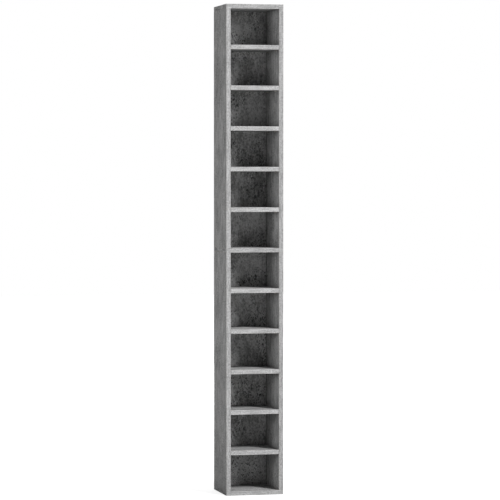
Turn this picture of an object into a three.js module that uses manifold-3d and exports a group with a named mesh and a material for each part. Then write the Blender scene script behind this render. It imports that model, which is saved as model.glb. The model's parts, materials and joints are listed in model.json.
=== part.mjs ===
// A tall storage tower for CD and DVD cases, made of decor-faced chipboard.
// Three wide boards lie across the tower: bottom, middle and top. Between them stand two pairs of side
// panels, dowelled to them. Ten loose shelves lie on steel pins, and thin back panels sit in grooves.
// Millimetres, +Z up, the open front faces -Y, the origin is under the middle of the tower.

import * as THREE from "three";
import { mergeVertices } from "three/addons/utils/BufferGeometryUtils.js";
import Module from "manifold-3d";

const wasm = await Module();
wasm.setup();

// Driving dimensions of the carcass.
const towerWidth = 210;
const towerDepth = 200;
const towerHeight = 1760;
const boardThickness = 16;
const boardArris = 0.5; // the broken edge all round a board's two faces
const boardJointPlay = 0.1; // between a side panel's end and the wide board that it meets

// The stack: one pair of side panels for each name, with as many shelves between them.
const halfNames = ["lower", "upper"];
const wideBoardNames = ["bottom_board", "middle_board", "top_board"];
const shelvesPerHalf = 5;

// Back panels, and the groove that holds them on all four sides.
const backThickness = 3;
const backInset = 4; // from the boards' rear edges to the groove
const grooveDepth = 5;
const grooveEndPlay = 0.5;
const grooveSidePlay = 0.1;

// Loose shelves.
const shelfEndPlay = 0.4;
const shelfRearPlay = 0.5;
const shelfSeatPlay = 0.2;

// Shelf pins: turned steel, with a flat filed where the shelf lies on them.
const pinDiameter = 5;
const pinGrip = 9; // the length in the side panel
const pinReach = 7; // the length under the shelf
const pinChamfer = 0.6;
const pinFlatDepth = 0.5;
const pinSetback = 37; // from the shelf's front and rear edges
const pinHolePlay = 0.1;
const pinHoleEndPlay = 1;

// Dowels, glued into the wide boards and reaching into the side panels' ends.
const dowelDiameter = 8;
const dowelReach = 22;
const dowelChamfer = 1;
const dowelSetback = 40; // from the boards' front and rear edges
const dowelHolePlay = 0.15;
const dowelHoleEndPlay = 2;

// Facets round a pin, a dowel and their holes, and what a cutter stands proud of the face that it enters.
const roundSides = 12;
const cutterOverrun = 1;

// Places and sizes that follow from the values above.
const innerWidth = towerWidth - 2 * boardThickness;
const sidePanelSpace = (towerHeight - wideBoardNames.length * boardThickness) / halfNames.length;
const sidePanelLength = sidePanelSpace - 2 * boardJointPlay;
const sidePanelX = (innerWidth + boardThickness) / 2;
const halfPitch = sidePanelSpace + boardThickness;
const clearHeight = (sidePanelSpace - shelvesPerHalf * boardThickness) / (shelvesPerHalf + 1);
const shelfPitch = clearHeight + boardThickness;
const frontY = -towerDepth / 2;
const grooveWidth = backThickness + 2 * grooveSidePlay;
const grooveY = towerDepth / 2 - backInset - grooveWidth / 2;
const shelfLength = innerWidth - 2 * shelfEndPlay;
const shelfRearY = grooveY - backThickness / 2 - shelfRearPlay;
const shelfDepth = shelfRearY - frontY;
const pinRows = { front: frontY + pinSetback, rear: shelfRearY - pinSetback };
const pinSeatHeight = pinDiameter / 2 - pinFlatDepth;
const dowelRows = [frontY + dowelSetback, -frontY - dowelSetback];
const sides = { left: -1, right: 1 };

const board = new THREE.MeshStandardMaterial({ name: "decor_board", color: "#9b9b9a", roughness: 0.6 });
const hardboard = new THREE.MeshStandardMaterial({ name: "hardboard", color: "#858585", roughness: 0.7 });
const steel = new THREE.MeshStandardMaterial({
  name: "nickelled_steel",
  color: "#b9b8b4",
  roughness: 0.3,
  metalness: 1,
});

// A closed geometry as a solid that can be cut and joined.
function solidOf(geometry) {
  const bare = geometry.index ? geometry.toNonIndexed() : geometry.clone();
  bare.deleteAttribute("normal");
  bare.deleteAttribute("uv");
  const merged = mergeVertices(bare);
  return new wasm.Manifold(
    new wasm.Mesh({
      numProp: 3,
      vertProperties: merged.attributes.position.array,
      triVerts: new Uint32Array(merged.index.array),
    }),
  );
}

// A solid back as a flat-shaded geometry.
function geometryOf(solid) {
  const mesh = solid.getMesh();
  const geometry = new THREE.BufferGeometry();
  geometry.setAttribute("position", new THREE.BufferAttribute(mesh.vertProperties, 3));
  geometry.setIndex(new THREE.BufferAttribute(mesh.triVerts, 1));
  const flat = geometry.toNonIndexed();
  flat.computeVertexNormals();
  return flat;
}

function meshOf(name, geometry, material) {
  const mesh = new THREE.Mesh(geometry, material);
  mesh.name = name;
  return mesh;
}

// A board lying on the bench, centred: its length along X, its width along Y, its faces up and down,
// with an arris all round both faces.
function boardGeometry(length, width) {
  const outline = new THREE.Shape();
  outline.moveTo(-length / 2, -width / 2);
  outline.lineTo(length / 2, -width / 2);
  outline.lineTo(length / 2, width / 2);
  outline.lineTo(-length / 2, width / 2);
  outline.closePath();
  const straight = boardThickness - 2 * boardArris;
  const geometry = new THREE.ExtrudeGeometry(outline, {
    depth: straight,
    bevelEnabled: true,
    bevelThickness: boardArris,
    bevelSize: boardArris,
    bevelOffset: -boardArris,
    bevelSegments: 1,
  });
  return geometry.translate(0, 0, -straight / 2);
}

// A round rod standing on the origin, along +Z, with a chamfer at each end that is named.
function rodGeometry(diameter, length, footChamfer, headChamfer) {
  const radius = diameter / 2;
  const profile = [new THREE.Vector2(0, 0)];
  if (footChamfer > 0) profile.push(new THREE.Vector2(radius - footChamfer, 0));
  profile.push(new THREE.Vector2(radius, footChamfer));
  profile.push(new THREE.Vector2(radius, length - headChamfer));
  if (headChamfer > 0) profile.push(new THREE.Vector2(radius - headChamfer, length));
  profile.push(new THREE.Vector2(0, length));
  return new THREE.LatheGeometry(profile, roundSides).rotateX(Math.PI / 2);
}

// The groove's cutter for a face at height faceZ that looks towards +Z or -Z (facing 1 or -1).
function grooveCutter(length, faceZ, facing) {
  const cutter = new THREE.BoxGeometry(length, grooveWidth, grooveDepth + cutterOverrun);
  return solidOf(cutter.translate(0, grooveY, faceZ + (facing * (cutterOverrun - grooveDepth)) / 2));
}

// A wide board with its grooves and dowels. It looks up and down at what it joins: above and below say
// whether there are side panels on that side of it.
function wideBoardGeometry(above, below) {
  let solid = solidOf(boardGeometry(towerWidth, towerDepth));
  const facings = [];
  if (above) facings.push(1);
  if (below) facings.push(-1);
  for (const facing of facings) {
    const faceZ = (facing * boardThickness) / 2;
    solid = solid.subtract(grooveCutter(innerWidth + 2 * grooveDepth, faceZ, facing));
    for (const side of Object.values(sides)) {
      for (const dowelY of dowelRows) {
        const length = dowelReach + boardThickness / 2;
        const dowel = rodGeometry(dowelDiameter, length, 0, dowelChamfer);
        if (facing < 0) dowel.rotateX(Math.PI);
        solid = solid.add(solidOf(dowel.translate(side * sidePanelX, dowelY, 0)));
      }
    }
  }
  return geometryOf(solid);
}

// Heights of the shelves' undersides above the foot of the space that a side panel stands in.
function shelfUndersides() {
  return Array.from({ length: shelvesPerHalf }, (_, index) => clearHeight + index * shelfPitch);
}

// A side panel on the bench: its inner face looks up. Along X it runs downwards on the left of the
// tower (side -1) and upwards on the right (side 1), so the two are mirror images of each other.
function sidePanelGeometry(side) {
  const innerFace = boardThickness / 2;
  let solid = solidOf(boardGeometry(sidePanelLength, towerDepth));
  solid = solid.subtract(grooveCutter(sidePanelLength + 2 * cutterOverrun, innerFace, 1));

  const pinHoleDiameter = pinDiameter + 2 * pinHolePlay;
  const pinHoleDepth = pinGrip + pinHoleEndPlay;
  for (const underside of shelfUndersides()) {
    const pinHeight = underside - shelfSeatPlay - pinSeatHeight - sidePanelSpace / 2;
    for (const pinY of Object.values(pinRows)) {
      const cutter = rodGeometry(pinHoleDiameter, pinHoleDepth + cutterOverrun, 0, 0);
      cutter.translate(side * pinHeight, pinY, innerFace - pinHoleDepth);
      solid = solid.subtract(solidOf(cutter));
    }
  }

  const dowelHoleDiameter = dowelDiameter + 2 * dowelHolePlay;
  const dowelHoleDepth = dowelReach + dowelHoleEndPlay;
  for (const end of [-1, 1]) {
    for (const dowelY of dowelRows) {
      const cutter = rodGeometry(dowelHoleDiameter, dowelHoleDepth + cutterOverrun, 0, 0);
      cutter.rotateY((end * Math.PI) / 2);
      cutter.translate(end * (sidePanelLength / 2 - dowelHoleDepth), dowelY, 0);
      solid = solid.subtract(solidOf(cutter));
    }
  }
  return geometryOf(solid);
}

function backPanelGeometry() {
  const tongue = grooveDepth - grooveEndPlay;
  return new THREE.BoxGeometry(innerWidth + 2 * tongue, backThickness, sidePanelSpace + 2 * tongue);
}

// A pin lying along X: the face of the side panel is at x = 0, and the grip runs out from there.
function pinGeometry() {
  const length = pinReach + pinGrip;
  const rod = rodGeometry(pinDiameter, length, pinChamfer, pinChamfer);
  rod.rotateY(Math.PI / 2).translate(-pinReach, 0, 0);
  const flatLength = pinReach + cutterOverrun;
  const cutter = new THREE.BoxGeometry(flatLength, pinDiameter + 2 * cutterOverrun, pinDiameter);
  cutter.translate(-flatLength / 2, 0, pinSeatHeight + pinDiameter / 2);
  return geometryOf(solidOf(rod).subtract(solidOf(cutter)));
}

const tower = new THREE.Group();

wideBoardNames.forEach((name, level) => {
  const geometry = wideBoardGeometry(level < halfNames.length, level > 0);
  const wideBoard = meshOf(name, geometry, board);
  wideBoard.position.z = boardThickness / 2 + level * halfPitch;
  tower.add(wideBoard);
});

const sidePanels = {};
for (const [sideName, side] of Object.entries(sides)) sidePanels[sideName] = sidePanelGeometry(side);
const backPanel = backPanelGeometry();
const shelfBoard = geometryOf(solidOf(boardGeometry(shelfLength, shelfDepth)));
const pin = pinGeometry();

halfNames.forEach((halfName, level) => {
  const half = new THREE.Group();
  half.position.z = boardThickness + level * halfPitch;
  tower.add(half);

  for (const [sideName, side] of Object.entries(sides)) {
    const panel = meshOf(`${sideName}_side_${halfName}`, sidePanels[sideName], board);
    panel.position.set(side * sidePanelX, 0, sidePanelSpace / 2);
    panel.rotation.y = (-side * Math.PI) / 2;
    half.add(panel);
  }

  const back = meshOf(`back_panel_${halfName}`, backPanel, hardboard);
  back.position.set(0, grooveY, sidePanelSpace / 2);
  half.add(back);

  shelfUndersides().forEach((underside, index) => {
    const number = level * shelvesPerHalf + index + 1;
    const shelf = meshOf(`shelf_${number}`, shelfBoard, board);
    shelf.position.set(0, frontY + shelfDepth / 2, underside + boardThickness / 2);
    half.add(shelf);

    for (const [rowName, pinY] of Object.entries(pinRows)) {
      for (const [sideName, side] of Object.entries(sides)) {
        const shelfPin = meshOf(`shelf_${number}_pin_${rowName}_${sideName}`, pin, steel);
        shelfPin.position.set((side * innerWidth) / 2, pinY, underside - shelfSeatPlay - pinSeatHeight);
        shelfPin.rotation.z = side > 0 ? 0 : Math.PI;
        half.add(shelfPin);
      }
    }
  });
});

export default tower;
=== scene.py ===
# %% [markdown]
# # A storage tower for CD and DVD cases
# The real object is a piece of flat-pack furniture: boards of chipboard, faced with printed paper that
# looks like grey concrete, with a thin plastic band glued to every edge that shows. This lesson dresses
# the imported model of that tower. The model gives every size and place, so we only read it here.

# %% Load the model
import json
import math
import bpy
import numpy as np
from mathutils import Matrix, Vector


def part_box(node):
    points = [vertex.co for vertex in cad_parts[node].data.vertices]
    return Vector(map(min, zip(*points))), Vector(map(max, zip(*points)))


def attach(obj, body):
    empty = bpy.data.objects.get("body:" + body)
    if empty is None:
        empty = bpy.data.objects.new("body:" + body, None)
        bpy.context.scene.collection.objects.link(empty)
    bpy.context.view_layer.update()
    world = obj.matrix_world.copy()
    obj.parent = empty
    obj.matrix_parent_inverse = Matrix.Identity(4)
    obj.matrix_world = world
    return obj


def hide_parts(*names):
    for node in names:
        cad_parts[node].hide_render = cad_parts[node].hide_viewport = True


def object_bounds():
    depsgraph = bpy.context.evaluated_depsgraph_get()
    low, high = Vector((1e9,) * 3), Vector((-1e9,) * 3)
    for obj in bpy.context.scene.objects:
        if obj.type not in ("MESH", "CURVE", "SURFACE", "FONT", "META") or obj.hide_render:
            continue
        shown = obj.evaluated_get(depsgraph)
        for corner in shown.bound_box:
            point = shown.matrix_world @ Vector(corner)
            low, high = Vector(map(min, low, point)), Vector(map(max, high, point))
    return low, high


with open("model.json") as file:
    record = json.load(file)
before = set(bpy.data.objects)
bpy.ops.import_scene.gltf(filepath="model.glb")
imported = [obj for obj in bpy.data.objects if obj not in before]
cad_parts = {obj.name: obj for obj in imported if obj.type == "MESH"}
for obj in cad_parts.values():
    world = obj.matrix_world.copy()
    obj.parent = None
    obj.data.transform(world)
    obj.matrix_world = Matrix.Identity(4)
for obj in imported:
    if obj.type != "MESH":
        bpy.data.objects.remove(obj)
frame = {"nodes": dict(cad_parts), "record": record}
cad_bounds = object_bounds()
record = frame["record"]
body_of_node = {node: body for body, nodes in record["behaviour"]["bodies"].items() for node in nodes}

# %% [markdown]
# ## The camera
# The photograph was taken from the front left with a long lens, so the verticals stay almost parallel.
# We could turn and slide a camera until it fits by eye. It is better to write down where the camera
# stands, how it is turned, and its focal length in pixels, because each of them was fitted to corners
# that can be read in the photograph.

# %% Camera
PICTURE_SIDE = 500
SENSOR_WIDTH = 36.0
FOCAL_PIXELS = 2567.0
CAMERA_PLACE = (-2.188, -9.030, 1.149)
CAMERA_YAW = 13.657
CAMERA_TILT = 1.67

camera_data = bpy.data.cameras.new("camera")
camera_data.sensor_width = SENSOR_WIDTH
camera_data.lens = FOCAL_PIXELS / PICTURE_SIDE * SENSOR_WIDTH
camera = bpy.data.objects.new("camera", camera_data)
camera.location = CAMERA_PLACE
camera.rotation_euler = (math.radians(90 - CAMERA_TILT), 0, math.radians(-CAMERA_YAW))
bpy.context.scene.collection.objects.link(camera)
bpy.context.scene.camera = camera
print("lens", round(camera_data.lens, 1), "mm")

# %% [markdown]
# ## A rounded board
# Every board, band and panel here is a box whose edges are slightly broken. A modelled cube with a Bevel
# modifier would do. We use a formula instead, because it also gives exact normals: a rounded box is an
# inner box plus a ball. We sample the ball on a grid of turns and tilts, and move each eighth of it to
# its own corner of the inner box. The flat faces are the quads between neighbouring eighths.

# %% Rounded box
ARC_STEPS = 3


def rounded_box(low, high, radius):
    """Points, normals and faces of a box with round edges: corner of the inner box plus radius times
    the normal, where the normal runs over a ball, eighth by eighth."""
    low = np.asarray(low, float)
    high = np.asarray(high, float)
    arc = np.linspace(0, math.pi / 2, ARC_STEPS + 1)
    turns = np.concatenate([arc + quarter * math.pi / 2 for quarter in range(4)])
    tilts = np.concatenate([arc - math.pi / 2, arc])
    tilt, turn = np.meshgrid(tilts, turns, indexing="ij")
    normals = np.stack([np.cos(tilt) * np.cos(turn), np.cos(tilt) * np.sin(turn), np.sin(tilt)], axis=-1)
    sign_x = np.repeat([1, -1, -1, 1], ARC_STEPS + 1)
    sign_y = np.repeat([1, 1, -1, -1], ARC_STEPS + 1)
    sign_z = np.repeat([-1, 1], ARC_STEPS + 1)
    signs = np.stack(np.broadcast_arrays(sign_x[None, :], sign_y[None, :], sign_z[:, None]), axis=-1)
    corners = (low + high) / 2 + signs * ((high - low) / 2 - radius)
    points = (corners + radius * normals).reshape(-1, 3)

    rows, columns = tilt.shape
    ids = np.arange(rows * columns).reshape(rows, columns)
    for pole in (0, -1):
        ids[pole] = ids[pole] // (ARC_STEPS + 1) * (ARC_STEPS + 1)
    after = np.roll(ids, -1, axis=1)
    quads = np.stack([ids[:-1], after[:-1], after[1:], ids[1:]], axis=-1).reshape(-1, 4)
    foot = ids[0, :: ARC_STEPS + 1][::-1]
    head = ids[-1, :: ARC_STEPS + 1]
    faces = [list(dict.fromkeys(quad)) for quad in [*quads.tolist(), foot.tolist(), head.tolist()]]
    faces = [face for face in faces if len(face) > 2]
    used, renumbered = np.unique(np.concatenate(faces), return_inverse=True)
    lengths = [len(face) for face in faces]
    faces = [part.tolist() for part in np.split(renumbered, np.cumsum(lengths)[:-1])]
    return points[used], normals.reshape(-1, 3)[used], faces


print("a rounded box has", len(rounded_box([0, 0, 0], [1, 1, 1], 0)[0]), "points")

# %% [markdown]
# ## From arrays to a piece
# Where a piece stands for a node of the model, the node is hidden.

# %% Piece helper
made = []


def add_piece(name, points, normals, faces, node, slot, materials, stands_for_node, material_ids=None):
    """A mesh from arrays, which rides on the body of the node that it dresses."""
    mesh = bpy.data.meshes.new(name)
    mesh.from_pydata(points.tolist(), [], faces)
    mesh.polygons.foreach_set("use_smooth", np.ones(len(faces), bool))
    for material in materials:
        mesh.materials.append(material)
    if material_ids is not None:
        mesh.polygons.foreach_set("material_index", material_ids)
    if normals is not None:
        mesh.normals_split_custom_set_from_vertices(normals.tolist())
    mesh.update()
    piece = bpy.data.objects.new(name, mesh)
    bpy.context.scene.collection.objects.link(piece)
    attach(piece, body_of_node[node])
    if stands_for_node:
        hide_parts(node)
    made.append(piece)
    return piece


print("bodies to ride on", sorted(set(body_of_node.values())))

# %% [markdown]
# ## Colours and nodes
# A colour is written the way a picture shows it, as an sRGB hex value, and Blender wants it linear. Node
# setups get one small helper that adds a node, sets its inputs and links them.

# %% Colour and node helpers
MILLIMETRE = 0.001
AXIS_X, AXIS_Y, AXIS_Z = range(3)
SRGB_LIMIT, SRGB_SLOPE, SRGB_OFFSET, SRGB_POWER = 0.04045, 12.92, 0.055, 2.4


def linear(hex_colour):
    """sRGB hex to linear RGBA: the low part is a straight line, the rest a power."""
    values = np.array(list(bytes.fromhex(hex_colour[1:]))) / 255
    low = values / SRGB_SLOPE
    high = ((values + SRGB_OFFSET) / (1 + SRGB_OFFSET)) ** SRGB_POWER
    return (*np.where(values <= SRGB_LIMIT, low, high).tolist(), 1.0)


def add_node(tree, kind, inputs=None, **settings):
    """Adds a node, sets its settings, and gives each named input a value or a link."""
    node = tree.nodes.new("ShaderNode" + kind)
    for key, value in settings.items():
        setattr(node, key, value)
    for key, value in (inputs or {}).items():
        if isinstance(value, bpy.types.NodeSocket):
            tree.links.new(value, node.inputs[key])
        else:
            node.inputs[key].default_value = value
    return node


def new_material(name):
    """A material with its Principled shader, the shader's tree and the Object coordinates."""
    material = bpy.data.materials.new(name)
    material.use_nodes = True
    tree = material.node_tree
    shader = tree.nodes["Principled BSDF"]
    place = add_node(tree, "TexCoord").outputs["Object"]
    return material, tree, shader, place


def per_size(millimetres):
    """A texture scale whose features are about that far apart."""
    return 1 / (millimetres * MILLIMETRE)


def scale_along(axis, factor):
    """A scale for coordinates: the factor along one axis, and 1 along the others."""
    scale = [1.0, 1.0, 1.0]
    scale[axis] = factor
    return scale


print("sRGB #808080 is linear", round(linear("#808080")[0], 3))

# %% [markdown]
# ## Concrete-look decor
# The faces and edges are decor: paper printed to look like poured concrete, soaked in melamine resin and
# pressed on the board. It is matt and neutral grey. An image would be one way to print it. We use noise,
# because it has no repeats and no seams. The print is made of layers at different scales: clouds as wide
# as a hand, smears and hair-thin lines drawn out along the board, fine grit, and small dark pores and
# blotches that come in flocks. The faces, the back and the bands are three prints with shares of their
# own: the back is cloudier, and the bands have hardly any pores.

# %% The layers of the print
PRINT_LAYERS = {
    # layer: width in mm, stretch along the grain, detail, roughness
    "clouds": (110, 1.6, 3.0, 0.55),
    "smears": (15, 3.0, 4.0, 0.6),
    "grit": (5, 1.3, 4.0, 0.65),
    "lines": (3.5, 12.0, 2.0, 0.55),
    "flocks": (60, 1.3, 2.0, 0.55),
    "blotches": (5, 1.4, 3.0, 0.6),
}
FACE_PRINT = {
    "shares": {"clouds": 0.15, "smears": 0.25, "grit": 0.3, "lines": 0.3},
    "pore_share": 0.75,
    "corner_shade_share": 0.34,
}
BACK_PRINT = {
    "shares": {"clouds": 0.36, "smears": 0.2, "grit": 0.38, "lines": 0.06},
    "pore_share": 0.9,
    "corner_shade_share": 0.0,
}
BAND_PRINT = {
    "shares": {"clouds": 0.03, "smears": 0.15, "grit": 0.52, "lines": 0.3},
    "pore_share": 0.3,
    "corner_shade_share": 0.0,
}
TONE_SPREAD = 0.11
FLOCK_LIMITS = (0.42, 0.62)
BLOTCH_LIMITS = (0.52, 0.64)
PORE_SPACING = 5  # real pores are half as wide, and would vanish in a picture of the whole tower
PORE_STRETCH = 1.5
PORE_RAGGEDNESS = 0.5
PORE_EDGE = (0.35, 0.47)
PORE_COLOUR = "#464646"
print("print layers", len(PRINT_LAYERS))

# %% [markdown]
# A drawn-out layer is plain noise on coordinates that are pressed together along one axis, so each
# direction of board gets its own copy of the finish. A pore is the middle of a Voronoi cell, and some grit
# added to its distance makes its outline ragged.

# %% Layers along the grain
def printed_layers(tree, place, grain_axis):
    """Each layer is noise, or cells, on coordinates divided by its stretch along the grain."""
    layers = {}
    for layer, (width, stretch, detail, rough) in PRINT_LAYERS.items():
        pressed = {"Vector": place, "Scale": scale_along(grain_axis, 1 / stretch)}
        along = add_node(tree, "Mapping", pressed).outputs[0]
        settings = {"Vector": along, "Scale": per_size(width), "Detail": detail, "Roughness": rough}
        layers[layer] = add_node(tree, "TexNoise", settings).outputs[0]
    pressed = {"Vector": place, "Scale": scale_along(grain_axis, 1 / PORE_STRETCH)}
    along = add_node(tree, "Mapping", pressed).outputs[0]
    pores = add_node(tree, "TexVoronoi", {"Vector": along, "Scale": per_size(PORE_SPACING)})
    inputs = {0: layers["grit"], 1: PORE_RAGGEDNESS, 2: pores.outputs["Distance"]}
    layers["pores"] = add_node(tree, "Math", inputs, operation="MULTIPLY_ADD").outputs[0]
    return layers


print("pores", PORE_SPACING, "mm apart")

# %% [markdown]
# Melamine is matt, so it hardly mirrors anything, and its darker spots lie a hair deeper. The colour also
# gets painted shade in inner corners: the Ambient Occlusion node tells how closely other surfaces crowd
# round a point, and the corner is darkened by that.

# %% Decor
DECOR_SPECULAR = 0.01
DECOR_ROUGHNESS = (0.66, 0.5)
RELIEF_DEPTH = 0.12 * MILLIMETRE
RELIEF_STRENGTH = 0.3
# Painted shade in inner corners: its reach, the openness where it is full, and its colour.
CORNER_REACH = 24 * MILLIMETRE
CORNER_OPENNESS = 0.5  # right in a corner two faces stand square, and hide half of the surroundings
CORNER_SHADE_COLOUR = "#303030"


def decor(name, dark, pale, grain_axis, shares, pore_share, corner_shade_share):
    """Printed paper under melamine resin, which gives the eye a matt, neutral grey with a soft drawn-out
    mottle. The tone between dark and pale is the weighted sum of the layers. Pores and blotches lie on
    top, where the flocks let them."""
    material, tree, shader, place = new_material(name)
    layers = printed_layers(tree, place, grain_axis)
    tone = 0.0
    for layer, share in shares.items():
        inputs = {0: layers[layer], 1: share, 2: tone}
        tone = add_node(tree, "Math", inputs, operation="MULTIPLY_ADD").outputs[0]
    layers["tone"] = tone

    middle_tone = sum(shares.values()) / 2
    limits = {
        "tone": (middle_tone - TONE_SPREAD, middle_tone + TONE_SPREAD),
        "flocks": FLOCK_LIMITS,
        "blotches": BLOTCH_LIMITS,
        "pores": PORE_EDGE[::-1],
    }
    for layer, (low, high) in limits.items():
        inputs = {"Value": layers[layer], "From Min": low, "From Max": high}
        layers[layer] = add_node(tree, "MapRange", inputs, interpolation_type="SMOOTHSTEP").outputs[0]

    spots = {0: layers["pores"], 1: layers["blotches"]}
    spots = add_node(tree, "Math", spots, operation="MAXIMUM").outputs[0]
    spots = add_node(tree, "Math", {0: spots, 1: layers["flocks"]}, operation="MULTIPLY").outputs[0]
    spots = add_node(tree, "Math", {0: spots, 1: pore_share}, operation="MULTIPLY").outputs[0]

    coats = [(layers["tone"], pale), (spots, PORE_COLOUR)]
    # Painted shade: the colour darkens towards inner corners, as far as the corner share allows.
    if corner_shade_share > 0:
        openness = add_node(tree, "AmbientOcclusion", {"Distance": CORNER_REACH}).outputs["AO"]
        inputs = {"Value": openness, "From Min": 1.0, "From Max": CORNER_OPENNESS, "To Max": corner_shade_share}
        coats.append((add_node(tree, "MapRange", inputs).outputs[0], CORNER_SHADE_COLOUR))
    colour = linear(dark)
    for share, other in coats:
        inputs = {"Factor": share, "A": colour, "B": linear(other)}
        colour = add_node(tree, "Mix", inputs, data_type="RGBA").outputs["Result"]
    tree.links.new(colour, shader.inputs["Base Color"])

    inputs = {"Value": layers["tone"], "To Min": DECOR_ROUGHNESS[0], "To Max": DECOR_ROUGHNESS[1]}
    gloss = add_node(tree, "MapRange", inputs).outputs[0]
    tree.links.new(gloss, shader.inputs["Roughness"])
    height = add_node(tree, "Math", {0: layers["tone"], 1: spots}, operation="SUBTRACT").outputs[0]
    inputs = {"Height": height, "Strength": RELIEF_STRENGTH, "Distance": RELIEF_DEPTH}
    tree.links.new(add_node(tree, "Bump", inputs).outputs[0], shader.inputs["Normal"])
    shader.inputs["Specular IOR Level"].default_value = DECOR_SPECULAR
    return material


# How far the painted corner shade reaches out of a corner.
print("dust reaches", round(CORNER_REACH / MILLIMETRE), "mm out of a corner")

# %% [markdown]
# The boards that lie flat take a darker copy of the face decor, which is painted shade on them, and no two
# kinds of band have quite the same tone. So each finish gets a dark and a pale tone of its own.

# %% Decor finishes
FACE_TONES = ("#8a8a8a", "#d2d2d2")
# Painted shade: the tones of the flat boards are darker than those of the upright faces.
FLAT_BOARD_SHADED_TONES = ("#7e7e7e", "#c4c4c4")
decor_upright = decor("melamine_decor_grain_upright", *FACE_TONES, AXIS_Z, **FACE_PRINT)
decor_across = decor("melamine_decor_grain_across", *FLAT_BOARD_SHADED_TONES, AXIS_X, **FACE_PRINT)
decor_depthwise = decor("melamine_decor_grain_depthwise", *FACE_TONES, AXIS_Y, **FACE_PRINT)
back_print = decor("printed_hardboard_front", "#949494", "#eeeeee", AXIS_Z, **BACK_PRINT)
band_left = decor("edge_band_left_side", "#9a9a9a", "#c7c7c7", AXIS_Z, **BAND_PRINT)
band_right = decor("edge_band_right_side", "#939393", "#bfbfbf", AXIS_Z, **BAND_PRINT)
band_wide = decor("edge_band_wide_board", "#969696", "#c4c4c4", AXIS_X, **BAND_PRINT)
band_shelf = decor("edge_band_shelf", "#a1a1a1", "#cecece", AXIS_X, **BAND_PRINT)
print("decor finishes", len(bpy.data.materials))

# %% [markdown]
# ## Raw chipboard
# Edges that face the wall carry no band, so the chipboard shows: flakes of wood of many tones, pressed
# and glued, with dark gaps. Cells of a Voronoi pattern are the flakes. The press has laid them flat, so
# the coordinates are stretched across the board, which makes every cell thin in that direction, and a
# little noise in the coordinates takes the roundness off the cells. Each cell has a chance value of its
# own, which picks its tone, and the distance from its middle tells where the gap begins.

# %% Chipboard
CHIP_LENGTH = 6.0
CHIP_FLATNESS = 2.6
CHIP_WOBBLE = 2.2 * MILLIMETRE
WOBBLE_SIZE = 3.0
CHIP_DARK, CHIP_PALE = "#ab8656", "#dcc69d"
GAP_COLOUR = "#6b5134"
GAP_DISTANCES = (0.4, 0.9)
CHIP_RELIEF = 0.3 * MILLIMETRE
CHIPBOARD_ROUGHNESS = 0.9


def chipboard(name, thick_axis):
    """Glued wood flakes, which give the eye a rough, dull, speckled tan. The tone comes from the chance
    value of the flake, and is darker towards the gaps."""
    material, tree, shader, place = new_material(name)
    stretched = {"Vector": place, "Scale": scale_along(thick_axis, CHIP_FLATNESS)}
    flat = add_node(tree, "Mapping", stretched).outputs[0]
    noise = add_node(tree, "TexNoise", {"Vector": flat, "Scale": per_size(WOBBLE_SIZE)})
    inputs = {0: noise.outputs["Color"], 1: [CHIP_WOBBLE] * 3, 2: flat}
    wobbled = add_node(tree, "VectorMath", inputs, operation="MULTIPLY_ADD").outputs[0]
    flakes = add_node(tree, "TexVoronoi", {"Vector": wobbled, "Scale": per_size(CHIP_LENGTH)})
    chance = add_node(tree, "SeparateColor", {"Color": flakes.outputs["Color"]}).outputs["Red"]
    inputs = {"Value": flakes.outputs["Distance"]}
    inputs |= {"From Min": GAP_DISTANCES[0], "From Max": GAP_DISTANCES[1]}
    gap = add_node(tree, "MapRange", inputs).outputs[0]
    colour = linear(CHIP_DARK)
    for share, other in ((chance, CHIP_PALE), (gap, GAP_COLOUR)):
        inputs = {"Factor": share, "A": colour, "B": linear(other)}
        colour = add_node(tree, "Mix", inputs, data_type="RGBA").outputs["Result"]
    tree.links.new(colour, shader.inputs["Base Color"])
    relief = add_node(tree, "Bump", {"Height": gap, "Distance": CHIP_RELIEF}, invert=True).outputs[0]
    tree.links.new(relief, shader.inputs["Normal"])
    shader.inputs["Roughness"].default_value = CHIPBOARD_ROUGHNESS
    return material


chipboard_edge = {
    AXIS_X: chipboard("raw_chipboard_edge_of_upright_boards", AXIS_X),
    AXIS_Z: chipboard("raw_chipboard_edge_of_flat_boards", AXIS_Z),
}
print("flakes", CHIP_LENGTH, "mm long,", round(CHIP_LENGTH / CHIP_FLATNESS, 1), "mm thick")

# %% [markdown]
# ## Raw hardboard
# The back panel is hardboard: brown wood fibre pressed to a thin sheet. Its front is printed and its rear
# is raw, where the wire sieve that drained it has left a fine waffle. Two sine waves, one along and one
# across, give the waffle its height, and soft noise gives the fibre its cloudy brown.

# %% Hardboard
FIBRE_SIZE = 14
FIBRE_DETAIL = 8.0
FIBRE_DARK, FIBRE_PALE = "#5f452e", "#a17c55"
SIEVE_PITCH = 3.0  # the real sieve is half as coarse, which a picture of the whole tower can't show
SIEVE_RELIEF = 0.2 * MILLIMETRE
SIEVE_STRENGTH = 0.5
HARDBOARD_ROUGHNESS = 0.75


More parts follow.
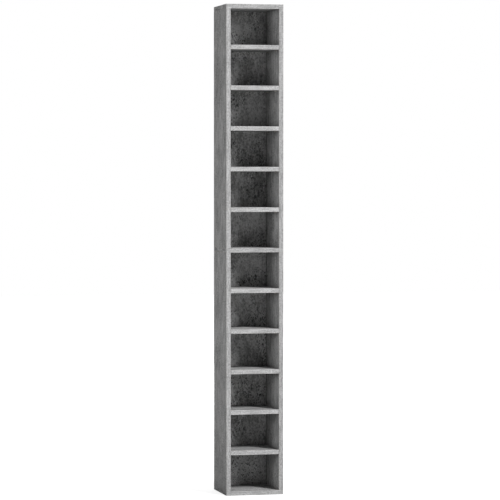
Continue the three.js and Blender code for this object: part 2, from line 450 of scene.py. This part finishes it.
def raw_hardboard():
    """Pressed wood fibre, a dull and slightly cloudy brown. The waffle's height is the sine of x plus the
    sine of z, both at the sieve's pitch."""
    material, tree, shader, place = new_material("raw_hardboard_rear")
    inputs = {"Vector": place, "Scale": per_size(FIBRE_SIZE), "Detail": FIBRE_DETAIL}
    fibre = add_node(tree, "TexNoise", inputs)
    inputs = {"Factor": fibre.outputs[0], "A": linear(FIBRE_DARK), "B": linear(FIBRE_PALE)}
    colour = add_node(tree, "Mix", inputs, data_type="RGBA").outputs["Result"]
    tree.links.new(colour, shader.inputs["Base Color"])
    split = add_node(tree, "SeparateXYZ", {"Vector": place})
    waffle = 0.0
    for axis in ("X", "Z"):
        inputs = {0: split.outputs[axis], 1: 2 * math.pi * per_size(SIEVE_PITCH)}
        turns = add_node(tree, "Math", inputs, operation="MULTIPLY").outputs[0]
        wave = add_node(tree, "Math", {0: turns}, operation="SINE").outputs[0]
        waffle = add_node(tree, "Math", {0: waffle, 1: wave}, operation="ADD").outputs[0]
    inputs = {"Height": waffle, "Strength": SIEVE_STRENGTH, "Distance": SIEVE_RELIEF}
    tree.links.new(add_node(tree, "Bump", inputs).outputs[0], shader.inputs["Normal"])
    shader.inputs["Roughness"].default_value = HARDBOARD_ROUGHNESS
    return material


hardboard_rear = raw_hardboard()
print("sieve pitch", SIEVE_PITCH, "mm")

# %% [markdown]
# ## Nickelled steel
# The shelf pins are turned steel with a thin coat of nickel, which is a little yellower than chrome and
# not quite as sharp. The lathe has left fine rings, and they show as a change of gloss along the pin.

# %% Nickel
NICKEL_COLOUR = "#c3bfb6"
TURNING_PITCH = 0.5  # real rings are a fifth as far apart, too fine for a picture
NICKEL_ROUGHNESS = (0.22, 0.34)


def nickelled_steel():
    """Turned and plated metal, bright with a soft gleam. Its roughness swings with the sine of x, once in
    each ring of the lathe."""
    material, tree, shader, place = new_material("nickelled_steel")
    shader.inputs["Base Color"].default_value = linear(NICKEL_COLOUR)
    shader.inputs["Metallic"].default_value = 1.0
    split = add_node(tree, "SeparateXYZ", {"Vector": place})
    inputs = {0: split.outputs["X"], 1: 2 * math.pi * per_size(TURNING_PITCH)}
    turns = add_node(tree, "Math", inputs, operation="MULTIPLY").outputs[0]
    wave = add_node(tree, "Math", {0: turns}, operation="SINE").outputs[0]
    inputs = {"Value": wave, "From Min": -1.0}
    inputs |= {"To Min": NICKEL_ROUGHNESS[0], "To Max": NICKEL_ROUGHNESS[1]}
    tree.links.new(add_node(tree, "MapRange", inputs).outputs[0], shader.inputs["Roughness"])
    return material


nickel = nickelled_steel()
print("materials", len(bpy.data.materials))

# %% [markdown]
# ## Boards with edge bands
# A faced board is a sandwich: decor above and below, chipboard between. On an edge that shows, a
# millimetre of plastic band with the same print closes the sandwich. So each board is a core, and each
# band its own thin piece. The core takes decor on its two faces, and raw chipboard on its edges.

# %% Boards
BAND_THICKNESS = 1.0 * MILLIMETRE
BAND_RADIUS = 0.45 * MILLIMETRE
CORE_RADIUS = 0.12 * MILLIMETRE
SQUARE_SHARE = 0.99  # a face is square to an axis if its normal has at least this share along it


def add_board(node, thick_axis, face_finish, front_finish, end_finish=None):
    """A core and its bands: always one band in front, and one at each end where end_finish is given."""
    low, high = (np.array(corner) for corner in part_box(node))
    low[AXIS_Z], high[AXIS_Z] = face_heights[node]
    bands = {"front": (low.copy(), high.copy())}
    bands["front"][1][AXIS_Y] = low[AXIS_Y] + BAND_THICKNESS
    core_low, core_high = low.copy(), high.copy()
    core_low[AXIS_Y] += BAND_THICKNESS
    if end_finish is not None:
        for name, edge, direction in (("left", low, 1), ("right", high, -1)):
            band_low, band_high = core_low.copy(), core_high.copy()
            inner = edge[AXIS_X] + direction * BAND_THICKNESS
            band_low[AXIS_X], band_high[AXIS_X] = sorted((edge[AXIS_X], inner))
            bands[name] = (band_low, band_high)
        core_low[AXIS_X] += BAND_THICKNESS
        core_high[AXIS_X] -= BAND_THICKNESS

    points, normals, faces = rounded_box(core_low, core_high, CORE_RADIUS)
    face_normals = np.array([normals[face].mean(axis=0) for face in faces])
    is_edge = np.abs(face_normals[:, thick_axis]) < SQUARE_SHARE
    core = (node + "_core", points, normals, faces, node, "decor_board")
    add_piece(*core, [face_finish, chipboard_edge[thick_axis]], True, is_edge.astype(int))
    for name, (band_low, band_high) in bands.items():
        finish = front_finish if name == "front" else end_finish
        shape = rounded_box(band_low, band_high, BAND_RADIUS)
        add_piece(f"{node}_{name}_band", *shape, node, "decor_board", [finish], False)


print("bands are", BAND_THICKNESS / MILLIMETRE, "mm thick")

# %% [markdown]
# The wide boards carry dowels, which are hidden inside the side panels. Their faces are found from the
# side panels that stand on them, and from the foot and head of the whole tower.

# %% Build the boards
wide_boards = [node for node in frame["nodes"] if node.endswith("_board")]
side_panels = [node for node in frame["nodes"] if "_side_" in node]
shelves = [node for node in frame["nodes"] if node.startswith("shelf_") and "pin" not in node]
foot, head = cad_bounds[0].z, cad_bounds[1].z
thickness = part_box(side_panels[0])[1].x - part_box(side_panels[0])[0].x
middle = (foot + head) / 2

face_heights = {node: (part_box(node)[0].z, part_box(node)[1].z) for node in side_panels + shelves}
face_heights["bottom_board"] = (foot, foot + thickness)
face_heights["middle_board"] = (middle - thickness / 2, middle + thickness / 2)
face_heights["top_board"] = (head - thickness, head)

for node in wide_boards:
    add_board(node, AXIS_Z, decor_across, band_wide, decor_depthwise)
for node in side_panels:
    add_board(node, AXIS_X, decor_upright, band_left if node.startswith("left") else band_right)
for node in shelves:
    add_board(node, AXIS_Z, decor_across, band_shelf)
print("pieces so far", len(made))

# %% [markdown]
# ## Back panels
# Two sheets of hardboard slide into grooves in the boards. They are thin and plain, so the rounded box
# serves again, with the print in front and raw fibre behind.

# %% Back panels
SHEET_RADIUS = 0.3 * MILLIMETRE
for node in [node for node in frame["nodes"] if node.startswith("back_panel")]:
    points, normals, faces = rounded_box(*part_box(node), SHEET_RADIUS)
    face_normals = np.array([normals[face].mean(axis=0) for face in faces])
    is_rear = (face_normals[:, AXIS_Y] > -SQUARE_SHARE).astype(int)
    sheet = (node + "_sheet", points, normals, faces, node, "hardboard")
    add_piece(*sheet, [back_print, hardboard_rear], True, is_rear)
print("pieces so far", len(made))

# %% [markdown]
# ## Shelf pins
# A pin is a turned rod with a chamfer at each end, and a flat on top where the shelf lies. We carry a
# profile round the axis, which is one array product, and then press every point that is higher than the
# flat down on to it, over the length under the shelf.

# %% Pins
PIN_TURNS = 32
PIN_CHAMFER = 0.6 * MILLIMETRE
PIN_FLAT_DEPTH = 0.5 * MILLIMETRE
PIN_SHOULDER = 0.05 * MILLIMETRE
PIN_CREASE_ANGLE = 30


def pin_surface(low, high, wall_x):
    """A surface of revolution along X: y and z are the axis plus the radius times the cosine and sine of
    the turn. On the length that stands out of the wall, z is never higher than the flat."""
    radius = (high.y - low.y) / 2
    axis_y, axis_z = (low.y + high.y) / 2, high.z - radius
    free_x, held_x = (low.x, high.x) if wall_x > 0 else (high.x, low.x)
    inward = 1 if free_x < held_x else -1
    along = np.array(
        [
            free_x,
            free_x + inward * PIN_CHAMFER,
            wall_x,
            wall_x + inward * PIN_SHOULDER,
            held_x - inward * PIN_CHAMFER,
            held_x,
        ]
    )
    radii = radius - PIN_CHAMFER * np.array([1, 0, 0, 0, 0, 1])
    flats = np.array([1, 1, 1, 0, 0, 0]) * PIN_FLAT_DEPTH
    turn = np.arange(PIN_TURNS) * 2 * math.pi / PIN_TURNS * inward
    x = np.broadcast_to(along[:, None], (len(along), PIN_TURNS))
    y = axis_y + np.outer(radii, np.cos(turn))
    z = axis_z + np.minimum(np.outer(radii, np.sin(turn)), (radius - flats)[:, None])
    points = np.stack([x, y, z], axis=-1).reshape(-1, 3)
    ids = np.arange(x.size).reshape(x.shape)
    after = np.roll(ids, -1, axis=1)
    quads = np.stack([ids[:-1], after[:-1], after[1:], ids[1:]], axis=-1).reshape(-1, 4)
    return points, [*quads.tolist(), ids[0, ::-1].tolist(), ids[-1].tolist()]


def add_pin(node):
    """Reads the pin's box, finds the wall that holds it, and puts the turned surface there."""
    low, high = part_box(node)
    wall_x = math.copysign(inner_half_width, low.x + high.x)
    points, faces = pin_surface(low, high, wall_x)
    piece = add_piece(node + "_turned", points, None, faces, node, "nickelled_steel", [nickel], True)
    piece.data.set_sharp_from_angle(angle=math.radians(PIN_CREASE_ANGLE))


inner_half_width = -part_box("left_side_lower")[1].x
for node in [node for node in frame["nodes"] if "_pin_" in node]:
    add_pin(node)
print("pieces", len(made))

# %% [markdown]
# ## Floor, background and light
# The photograph has a white ground without a horizon. The floor and the world show white to the camera,
# and to shiny things, by the Light Path node, while their real light stays modest. So the ground is
# white, keeps a faint shadow of the tower, and adds no glare.

# %% Where it is looked at
def seen_directly(tree):
    """1 where the camera, or a reflection or glass, looks at this surface, and 0 for other light."""
    path = add_node(tree, "LightPath").outputs
    inputs = {0: path["Is Camera Ray"], 1: path["Is Glossy Ray"]}
    first = add_node(tree, "Math", inputs, operation="MAXIMUM").outputs[0]
    inputs = {0: first, 1: path["Is Transmission Ray"]}
    return add_node(tree, "Math", inputs, operation="MAXIMUM").outputs[0]


print("kinds of ray that see the background: camera, glossy, transmission")

# %% [markdown]
# Light that the floor throws back reaches the foot of the tower. The foot is darker than the rest in the
# photograph, so the floor is a little dimmer near it. Both that tone and the glow depend on the distance
# from the axis of the tower.

# %% Floor finish
# Painted shade: the floor's colour is darker near the tower, in place of the shade round its foot.
FLOOR_NEAR_SHADED, FLOOR_FAR = "#9f9f9f", "#c9c9c9"
DIM_REACH = 1.5  # metres from the axis to where the floor has its full tone
GLOW_NEAR = 0.86
GLOW_REACH = 3.0  # metres from the axis to where the floor shows as pure white

floor_material, tree, shader, place = new_material("white_ground")
shader.inputs["Roughness"].default_value = 1.0
shader.inputs["Specular IOR Level"].default_value = 0.0
away = add_node(tree, "VectorMath", {0: place}, operation="LENGTH").outputs["Value"]
# Painted shade: the floor's colour goes from the darker tone at the tower to its full tone further out.
share = add_node(tree, "MapRange", {"Value": away, "From Max": DIM_REACH}).outputs[0]
inputs = {"Factor": share, "A": linear(FLOOR_NEAR_SHADED), "B": linear(FLOOR_FAR)}
colour = add_node(tree, "Mix", inputs, data_type="RGBA").outputs["Result"]
tree.links.new(colour, shader.inputs["Base Color"])
inputs = {"Value": away, "From Max": GLOW_REACH, "To Min": GLOW_NEAR}
strength = add_node(tree, "MapRange", inputs).outputs[0]
glow = add_node(tree, "Emission", {"Strength": strength})
added = add_node(tree, "AddShader", {0: shader.outputs[0], 1: glow.outputs[0]})
inputs = {0: seen_directly(tree), 1: shader.outputs[0], 2: added.outputs[0]}
choice = add_node(tree, "MixShader", inputs)
tree.links.new(choice.outputs[0], tree.nodes["Material Output"].inputs["Surface"])
print("glow from", GLOW_NEAR, "at the tower to 1 at", GLOW_REACH, "m")

# %% [markdown]
# The floor is one plane, a hair under the foot, so that the two never share a surface.

# %% Floor
FLOOR_SIDE = 30.0
FLOOR_DROP = 0.2 * MILLIMETRE

floor_mesh = bpy.data.meshes.new("floor")
corners = np.array([(-1, -1, 0), (1, -1, 0), (1, 1, 0), (-1, 1, 0)]) * FLOOR_SIDE / 2
corners[:, AXIS_Z] = foot - FLOOR_DROP
floor_mesh.from_pydata(corners.tolist(), [], [range(len(corners))])
floor_mesh.materials.append(floor_material)
floor = bpy.data.objects.new("floor", floor_mesh)
bpy.context.scene.collection.objects.link(floor)
print("floor", FLOOR_SIDE, "m wide")

# %% [markdown]
# The world is the backdrop. It is white where it is looked at, and gives no light of its own, so that the
# lamps alone decide how the tower is lit.

# %% World
WHITE = (1.0, 1.0, 1.0, 1.0)
world = bpy.data.worlds.new("studio")
world.use_nodes = True
bpy.context.scene.world = world
tree = world.node_tree
unlit = tree.nodes["Background"]
unlit.inputs["Strength"].default_value = 0.0
white = add_node(tree, "Background", {"Color": WHITE})
choice = add_node(tree, "MixShader", {0: seen_directly(tree), 1: unlit.outputs[0], 2: white.outputs[0]})
tree.links.new(choice.outputs[0], tree.nodes["World Output"].inputs["Surface"])
print("backdrop strength", white.inputs["Strength"].default_value)

# %% [markdown]
# ## Lamps
# The photograph is lit from the front right, rather high, with a weak light from the left: the fronts are
# pale, the left side is a good deal darker, and the compartments fade towards their backs. So the key is
# a high softbox, with a weaker one under it that reaches deeper into the compartments, and a third stands
# at the left. They were set until the tones in the render matched those in the photograph. Two more
# lamps, low at the right and behind, light the faces that only other views show.

# %% Lamps
LAMP_AIM = np.array([0, 0, 0.9])  # near the middle of the tower
LAMPS = {
    # lamp: azimuth, elevation, metres away, degrees wide, degrees high, level
    "key_softbox": (30, 41, 24.0, 9, 10, 0.87),
    "low_key_softbox": (31, 17, 24.0, 8, 12, 0.17),
    "left_softbox": (-57, 10, 4.0, 30, 22, 0.226),
    "right_softbox": (100, 14, 6.0, 24, 24, 0.25),
    "rear_softbox": (162, 14, 6.0, 34, 24, 0.6),
}


def add_softbox(name, azimuth, elevation, distance, width_angle, height_angle, level):
    """An oblong lamp on a sphere round the tower. Azimuth 0 is in front, and grows to the right. Its size
    is twice the distance times the tangent of half its angle. Its watts are pi squared times the distance
    squared times the level, so that level 1 alone would show a white wall that faces it as white."""
    lamp_data = bpy.data.lights.new(name, "AREA")
    lamp_data.shape = "RECTANGLE"
    lamp_data.size = 2 * distance * math.tan(math.radians(width_angle / 2))
    lamp_data.size_y = 2 * distance * math.tan(math.radians(height_angle / 2))
    lamp_data.energy = level * (math.pi * distance) ** 2
    lamp = bpy.data.objects.new(name, lamp_data)
    turn, rise = math.radians(azimuth), math.radians(elevation)
    direction = [math.sin(turn) * math.cos(rise), -math.cos(turn) * math.cos(rise), math.sin(rise)]
    lamp.location = LAMP_AIM + distance * np.array(direction)
    lamp.rotation_euler = (math.pi / 2 - rise, 0, turn)
    bpy.context.scene.collection.objects.link(lamp)


for name, settings in LAMPS.items():
    add_softbox(name, *settings)
print("lamps", len(LAMPS))

# %% [markdown]
# ## Finish
# The view transform stays plain, so that a written colour renders as it is written.

# %% Finish
bpy.context.scene.view_settings.view_transform = "Standard"
